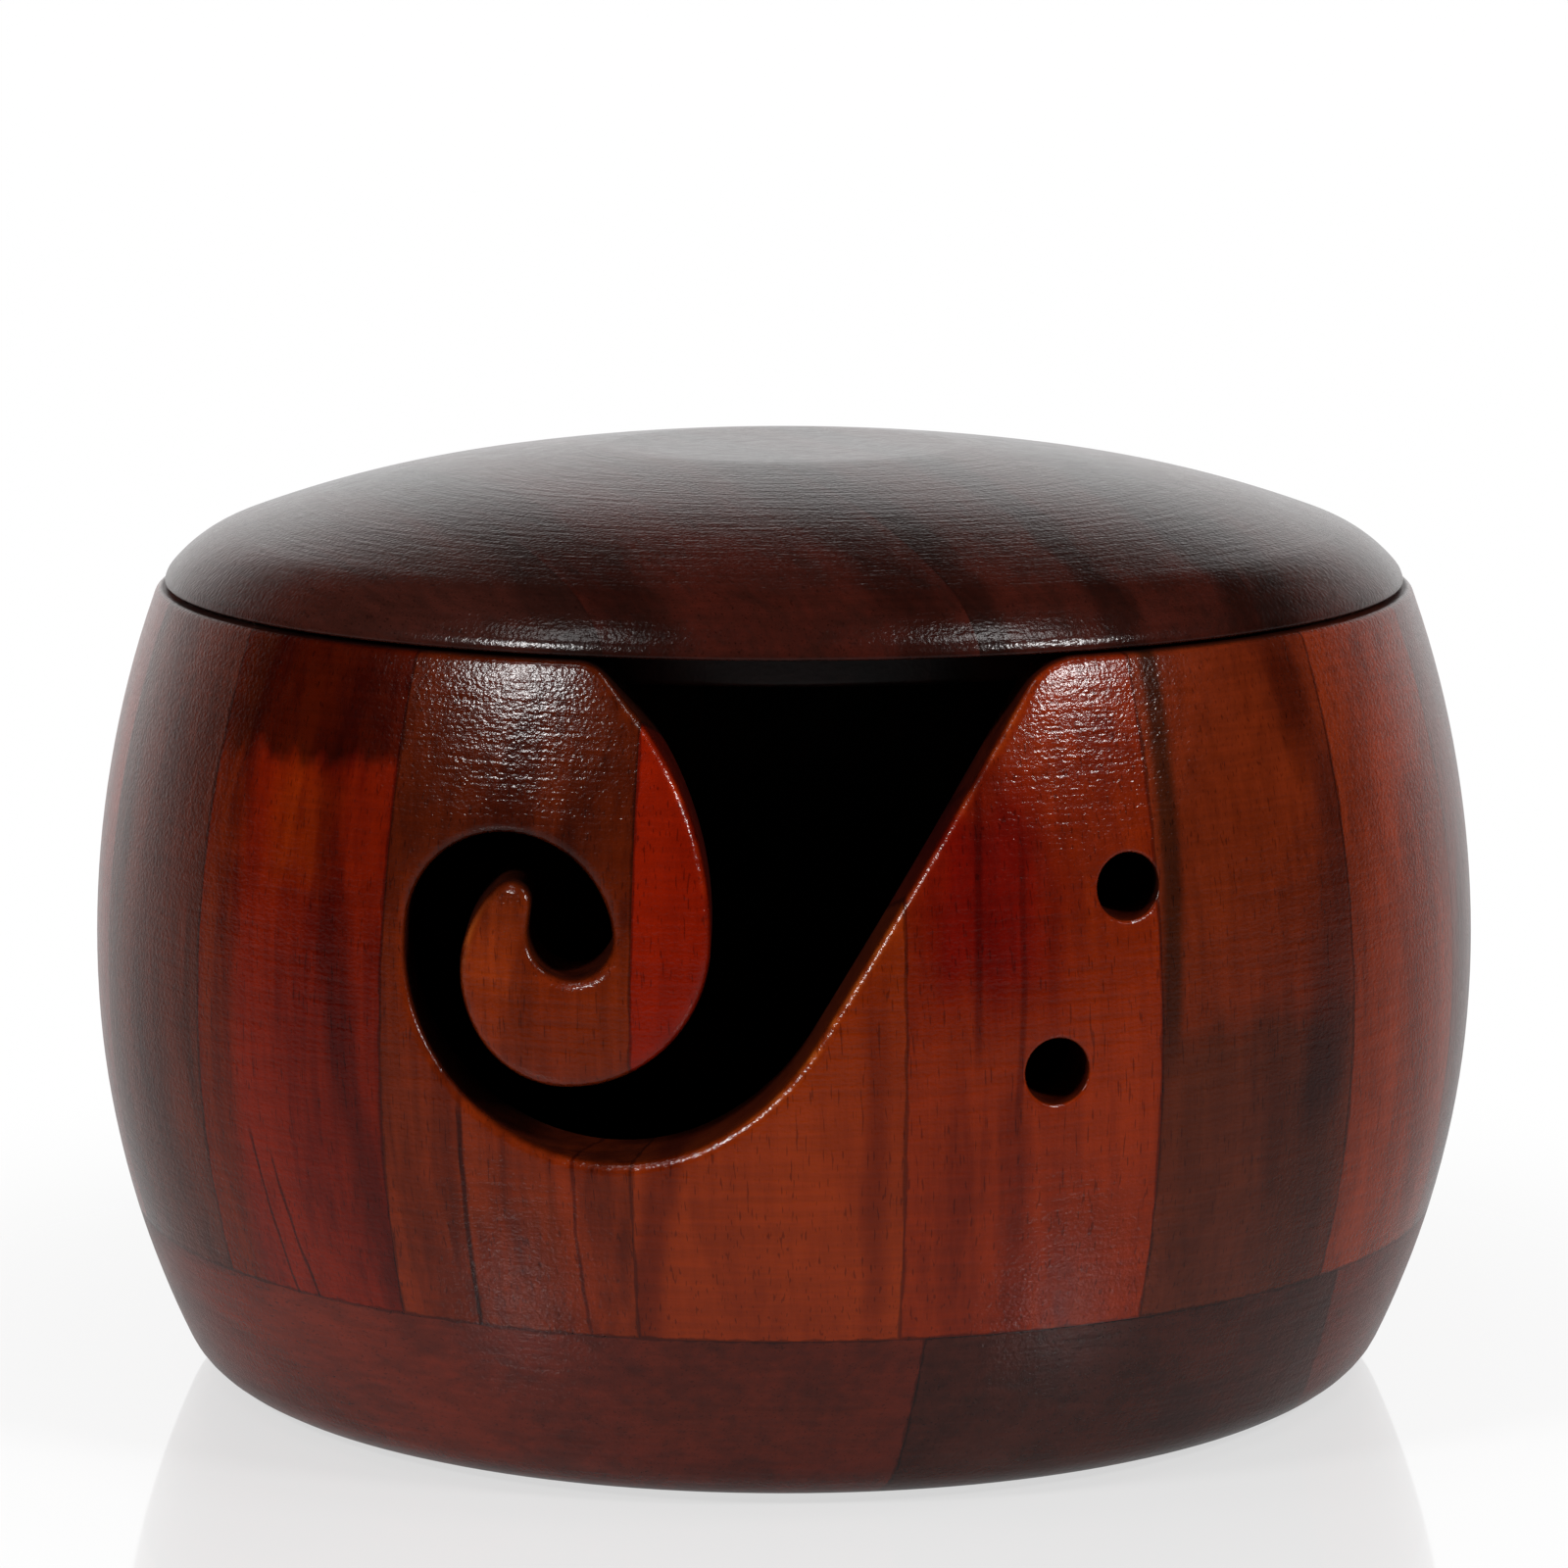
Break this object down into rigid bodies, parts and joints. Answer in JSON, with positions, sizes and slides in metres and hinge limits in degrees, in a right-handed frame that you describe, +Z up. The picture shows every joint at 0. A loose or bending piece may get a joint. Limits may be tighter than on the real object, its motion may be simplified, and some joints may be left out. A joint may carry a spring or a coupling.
{
  "type": "lidded yarn bowl",
  "caption": "Round turned wooden bowl with a domed lift-off lid, a notch that curls into a spiral to guide yarn, and two round yarn holes beside it.",
  "frame": {"origin": "middle of the flat foot, on the surface that the bowl stands on, on the axis that the bowl is turned about", "axes": "+Z up along the turning axis, -Y towards the notch and the viewer, +X towards the side with the yarn holes"},
  "size_m": [0.16, 0.16, 0.1065],
  "materials": {
    "stave_red": "red-brown stain under semi-gloss varnish",
    "stave_brown": "dark brown stain under semi-gloss varnish",
    "base_wood": "dark red-brown stain under semi-gloss varnish",
    "lid_wood": "dark brown stain under semi-gloss varnish, with fine turning marks"
  },
  "bodies": {
    "bowl": {"stave_front": "stave_red", "stave_front_lobe": "stave_red", "stave_right_01": "stave_red", "stave_right_02": "stave_brown", "stave_right_03": "stave_red", "stave_right_04": "stave_brown", "stave_right_05": "stave_red", "stave_right_06": "stave_brown", "stave_right_07": "stave_red", "stave_right_08": "stave_brown", "stave_back": "stave_brown", "stave_left_01": "stave_brown", "stave_left_02": "stave_red", "stave_left_03": "stave_brown", "stave_left_04": "stave_red", "stave_left_05": "stave_brown", "stave_left_06": "stave_red", "stave_left_07": "stave_brown", "stave_left_08": "stave_red", "base_board_01": "base_wood", "base_board_02": "base_wood", "base_board_03": "base_wood"},
    "lid": {"lid_board_01": "lid_wood", "lid_board_02": "lid_wood", "lid_board_03": "lid_wood", "lid_board_04": "lid_wood"}
  },
  "joints": [
    {"name": "lid_lift", "type": "slide", "parent": "bowl", "child": "lid", "axis": [0, 0, 1], "range_m": [0, 0.06]}
  ]
}
